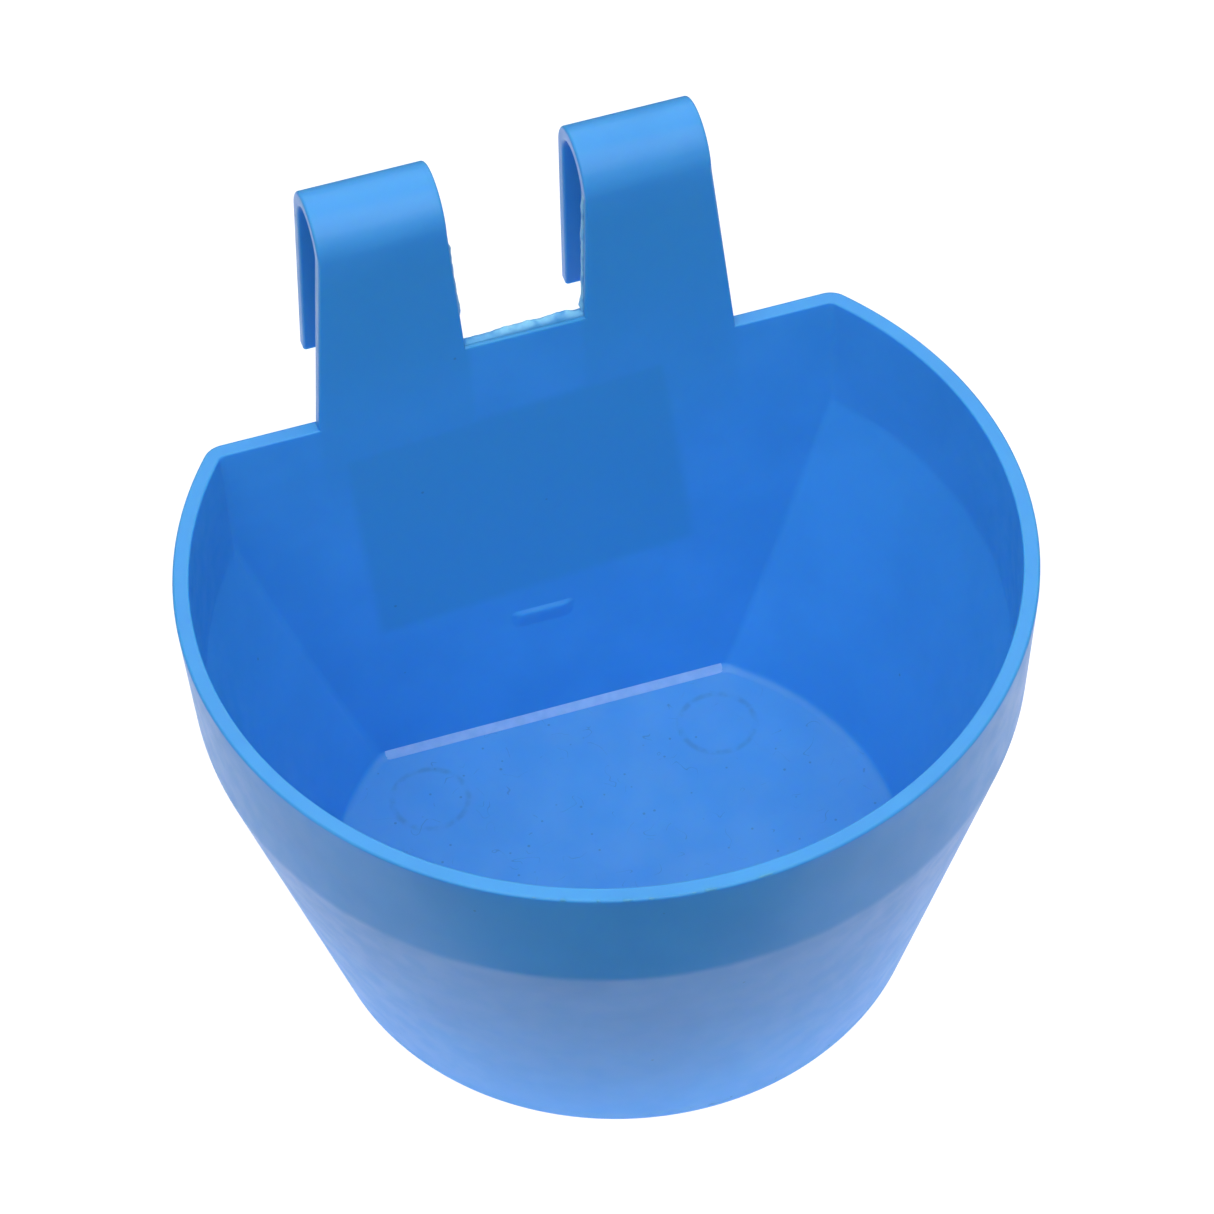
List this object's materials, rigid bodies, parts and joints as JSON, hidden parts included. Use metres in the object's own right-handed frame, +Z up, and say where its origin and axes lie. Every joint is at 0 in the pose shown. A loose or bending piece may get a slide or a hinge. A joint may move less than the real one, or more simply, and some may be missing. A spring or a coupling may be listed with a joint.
{
  "type": "hook-on cage cup",
  "caption": "D-shaped moulded plastic cup with a flat back and a pair of over-the-wire hooks, for feed or water in a small-animal cage.",
  "frame": {"origin": "middle of the overall footprint, at the height of the underside", "axes": "+X to the right as seen from the round front, +Y towards the cage that the hooks hang on, +Z up"},
  "size_m": [0.13, 0.1212, 0.1166],
  "materials": {
    "blue_plastic": "satin sky-blue polypropylene, slightly translucent, as moulded",
    "blank_label": "blank white film label"
  },
  "bodies": {
    "root": {"cup_floor": "blue_plastic", "cup_wall": "blue_plastic", "rim_collar": "blue_plastic", "back_wall": "blue_plastic", "hook_bridge": "blue_plastic", "left_strap": "blue_plastic", "right_strap": "blue_plastic", "left_hook": "blue_plastic", "right_hook": "blue_plastic", "rear_label": "blank_label"}
  },
  "joints": []
}
